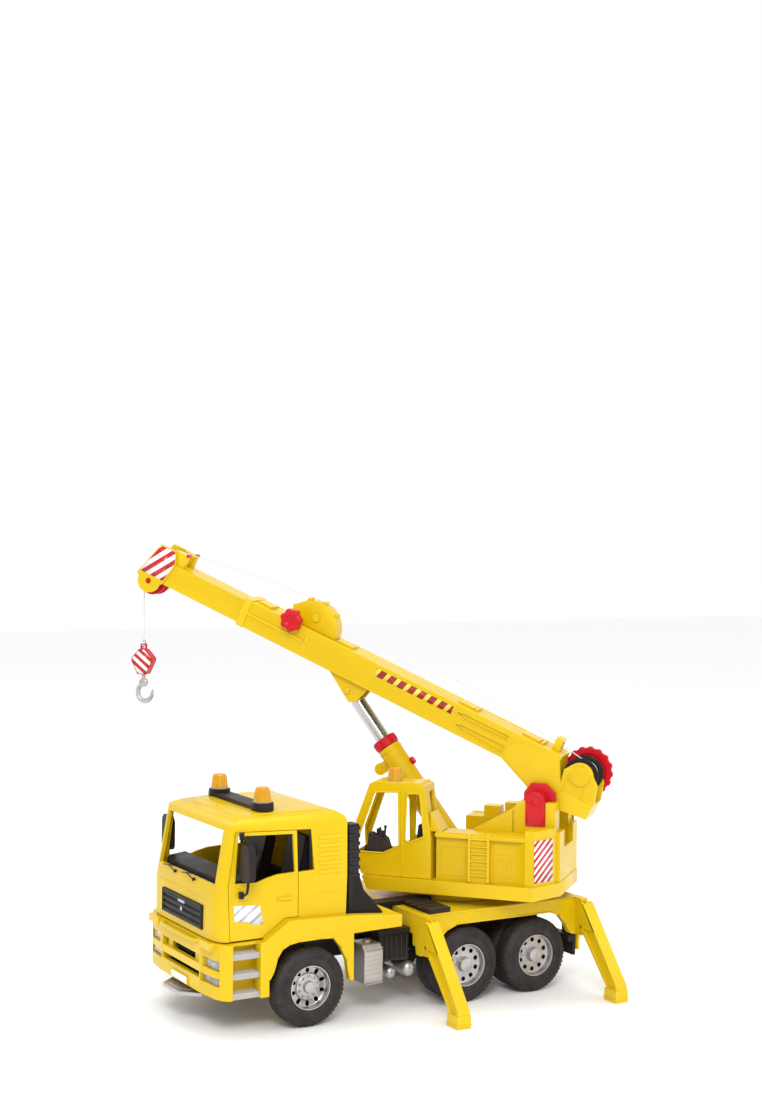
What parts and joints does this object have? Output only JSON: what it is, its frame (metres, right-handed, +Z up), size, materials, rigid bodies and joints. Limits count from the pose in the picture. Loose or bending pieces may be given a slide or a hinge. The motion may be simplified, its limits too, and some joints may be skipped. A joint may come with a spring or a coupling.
{
  "type": "toy crane truck",
  "caption": "Toy lorry with a tilting cab and fold-down outriggers, carrying a slewing superstructure with a telescopic boom, a hand winch, a cord and a hook.",
  "frame": {"origin": "on the ground, under the centre of the object's box without its cord", "axes": "+X is the lorry's front, +Y the lorry's left side, +Z up; the superstructure rests slewed 49 degrees to the right of straight ahead"},
  "size_m": [0.4706, 0.4742, 0.4737],
  "materials": {
    "yellow_plastic": "moulded yellow plastic, semi-gloss",
    "red_plastic": "moulded red plastic, semi-gloss",
    "black_plastic": "moulded black plastic, satin",
    "dark_plastic": "moulded dark grey plastic, matte",
    "tyre_plastic": "dark grey tyre, matte",
    "silver_plastic": "silver grey moulded plastic, satin",
    "steel": "plain bright steel",
    "amber_lens": "clear amber plastic, glossy",
    "clear_lens": "clear pale plastic, glossy",
    "cord": "thin twisted off-white cord"
  },
  "bodies": {
    "chassis": {"chassis_frame": "black_plastic", "rear_deck": "yellow_plastic", "lower_body_front": "yellow_plastic", "headlight_left": "clear_lens", "headlight_right": "clear_lens", "engine_block": "dark_plastic", "walkway_plate": "black_plastic", "intake_stack": "black_plastic", "fuel_tank": "silver_plastic", "fuel_tank_right": "silver_plastic", "battery_box": "black_plastic", "air_tanks": "silver_plastic", "turntable_ring": "yellow_plastic"},
    "front_wheels": {"front_wheelset": "silver_plastic", "front_tyre_left": "tyre_plastic", "front_tyre_right": "tyre_plastic"},
    "middle_wheels": {"middle_wheelset": "silver_plastic", "middle_tyre_left": "tyre_plastic", "middle_tyre_right": "tyre_plastic"},
    "rear_wheels": {"rear_wheelset": "silver_plastic", "rear_tyre_left": "tyre_plastic", "rear_tyre_right": "tyre_plastic"},
    "cab": {"cab_shell": "yellow_plastic", "cab_interior": "black_plastic", "grille": "black_plastic", "light_bar": "black_plastic", "beacon_left": "amber_lens", "beacon_right": "amber_lens"},
    "door_left": {"door_left": "yellow_plastic"},
    "door_right": {"door_right": "yellow_plastic"},
    "mirror_left": {"mirror_left": "black_plastic"},
    "mirror_right": {"mirror_right": "black_plastic"},
    "cab_latch": {"cab_latch": "red_plastic"},
    "outrigger_front_left": {"outrigger_front_left": "yellow_plastic"},
    "outrigger_front_right": {"outrigger_front_right": "yellow_plastic"},
    "outrigger_rear_left": {"outrigger_rear_left": "yellow_plastic"},
    "outrigger_rear_right": {"outrigger_rear_right": "yellow_plastic"},
    "superstructure": {"superstructure_base": "yellow_plastic", "crane_cab": "yellow_plastic", "crane_cab_interior": "black_plastic", "crane_beacon": "amber_lens", "pivot_cover_left": "red_plastic", "pivot_cover_right": "red_plastic", "boom_pivot_pin": "steel"},
    "boom": {"outer_boom": "yellow_plastic", "gear_housing": "yellow_plastic", "rope_top": "cord"},
    "extension_knob": {"extension_knob": "red_plastic"},
    "winch": {"winch_drum": "black_plastic", "winch_handwheel": "red_plastic"},
    "inner_boom": {"inner_boom": "yellow_plastic"},
    "head_sheave": {"head_sheave": "red_plastic"},
    "ram_tube": {"cylinder_tube": "yellow_plastic", "cylinder_collar": "red_plastic"},
    "piston_rod": {"piston_rod": "steel"},
    "release_button": {"release_button": "red_plastic"},
    "cord_drop": {"rope_drop": "cord"},
    "hoist": {"hook_ring": "steel"},
    "hook_block": {"hook_block": "red_plastic"},
    "hook": {"hook": "silver_plastic"}
  },
  "joints": [
    {"name": "front_wheels_roll", "type": "hinge", "parent": "chassis", "child": "front_wheels", "pos_m": [0.1253, 0.0681, 0.0395], "axis": [0, 1, 0], "continuous": true},
    {"name": "middle_wheels_roll", "type": "hinge", "parent": "chassis", "child": "middle_wheels", "pos_m": [-0.05849, 0.0681, 0.0395], "axis": [0, 1, 0], "continuous": true},
    {"name": "rear_wheels_roll", "type": "hinge", "parent": "chassis", "child": "rear_wheels", "pos_m": [-0.1461, 0.0681, 0.0395], "axis": [0, 1, 0], "continuous": true},
    {"name": "cab_tilt", "type": "hinge", "parent": "chassis", "child": "cab", "pos_m": [0.22381, 0.0681, 0.092], "axis": [0, 1, 0], "range_deg": [0, 45]},
    {"name": "door_left_swing", "type": "hinge", "parent": "cab", "child": "door_left", "pos_m": [0.21191, 0.1524, 0.14], "axis": [0, 0, -1], "range_deg": [0, 65]},
    {"name": "door_right_swing", "type": "hinge", "parent": "cab", "child": "door_right", "pos_m": [0.21191, -0.01621, 0.14], "axis": [0, 0, 1], "range_deg": [0, 65]},
    {"name": "mirror_left_fold", "type": "hinge", "parent": "door_left", "child": "mirror_left", "pos_m": [0.1995, 0.1551, 0.165], "axis": [0, 0, 1], "range_deg": [-15, 45]},
    {"name": "mirror_right_fold", "type": "hinge", "parent": "door_right", "child": "mirror_right", "pos_m": [0.1995, -0.01891, 0.165], "axis": [0, 0, -1], "range_deg": [-15, 45]},
    {"name": "cab_latch_lever", "type": "hinge", "parent": "chassis", "child": "cab_latch", "pos_m": [0.0468, 0.1181, 0.1145], "axis": [0, -1, 0], "range_deg": [0, 75]},
    {"name": "outrigger_front_left_fold", "type": "hinge", "parent": "chassis", "child": "outrigger_front_left", "pos_m": [-0.0057, 0.17409, 0.091], "axis": [1, 0, 0], "range_deg": [0, 110]},
    {"name": "outrigger_front_right_fold", "type": "hinge", "parent": "chassis", "child": "outrigger_front_right", "pos_m": [-0.0057, -0.03791, 0.091], "axis": [-1, 0, 0], "range_deg": [0, 110]},
    {"name": "outrigger_rear_left_fold", "type": "hinge", "parent": "chassis", "child": "outrigger_rear_left", "pos_m": [-0.2017, 0.17409, 0.091], "axis": [1, 0, 0], "range_deg": [0, 110]},
    {"name": "outrigger_rear_right_fold", "type": "hinge", "parent": "chassis", "child": "outrigger_rear_right", "pos_m": [-0.2017, -0.03791, 0.091], "axis": [-1, 0, 0], "range_deg": [0, 110]},
    {"name": "slew", "type": "hinge", "parent": "chassis", "child": "superstructure", "pos_m": [-0.10469, 0.0681, 0.1075], "axis": [0, 0, 1], "continuous": true},
    {"name": "luff", "type": "hinge", "parent": "superstructure", "child": "boom", "pos_m": [-0.16964, 0.14281, 0.2055], "axis": [-0.7547, -0.6561, 0], "range_deg": [-12, 36]},
    {"name": "ram_swing", "type": "hinge", "parent": "superstructure", "child": "ram_tube", "pos_m": [-0.10469, 0.0681, 0.14], "axis": [-0.7547, -0.6561, 0], "range_deg": [-12, 34]},
    {"name": "ram_extend", "type": "slide", "parent": "ram_tube", "child": "piston_rod", "axis": [0.3898, -0.4484, 0.8044], "range_m": [-0.026, 0.075]},
    {"name": "release_button_press", "type": "slide", "parent": "ram_tube", "child": "release_button", "axis": [0.5277, -0.6071, -0.5941], "range_m": [0, 0.0022], "stiffness_N_per_m": 400},
    {"name": "boom_extend", "type": "slide", "parent": "boom", "child": "inner_boom", "axis": [0.6012, -0.6916, 0.4003], "range_m": [-0.086, 0.12], "deforming": ["rope_top"]},
    {"name": "extension_knob_turn", "type": "hinge", "parent": "boom", "child": "extension_knob", "pos_m": [0.01894, -0.07413, 0.39056], "axis": [-0.7547, -0.6561, 0], "range_deg": [-960, 1330]},
    {"name": "head_sheave_turn", "type": "hinge", "parent": "inner_boom", "child": "head_sheave", "pos_m": [0.13917, -0.21244, 0.43145], "axis": [-0.7547, -0.6561, 0], "range_deg": [-980, 170]},
    {"name": "cord_plumb", "type": "hinge", "parent": "inner_boom", "child": "cord_drop", "pos_m": [0.13916, -0.21243, 0.43145], "axis": [-0.7547, -0.6561, 0], "range_deg": [-37, 13]},
    {"name": "hoist", "type": "slide", "parent": "cord_drop", "child": "hoist", "axis": [0, 0, 1], "range_m": [-0.24, 0.02], "deforming": ["rope_drop"]},
    {"name": "winch_turn", "type": "hinge", "parent": "boom", "child": "winch", "pos_m": [-0.19654, 0.17375, 0.23189], "axis": [-0.7547, -0.6561, 0], "range_deg": [-1080, 190]},
    {"name": "hook_block_swing", "type": "hinge", "parent": "hoist", "child": "hook_block", "pos_m": [0.14854, -0.22322, 0.3526], "axis": [0.7547, 0.6561, 0], "range_deg": [-40, 40]},
    {"name": "hook_swivel", "type": "hinge", "parent": "hook_block", "child": "hook", "pos_m": [0.14854, -0.22322, 0.32], "axis": [0, 0, 1], "continuous": true}
  ],
  "couplings": [
    {"joint": "ram_swing", "follows": "luff", "ratio": 0.93},
    {"joint": "ram_extend", "follows": "luff", "m_per_rad": 0.116},
    {"joint": "cord_plumb", "follows": "luff", "ratio": -1},
    {"joint": "extension_knob_turn", "follows": "boom_extend", "rad_per_m": 190.5},
    {"joint": "head_sheave_turn", "follows": "hoist", "rad_per_m": 69.9},
    {"joint": "winch_turn", "follows": "hoist", "rad_per_m": 76.9}
  ]
}
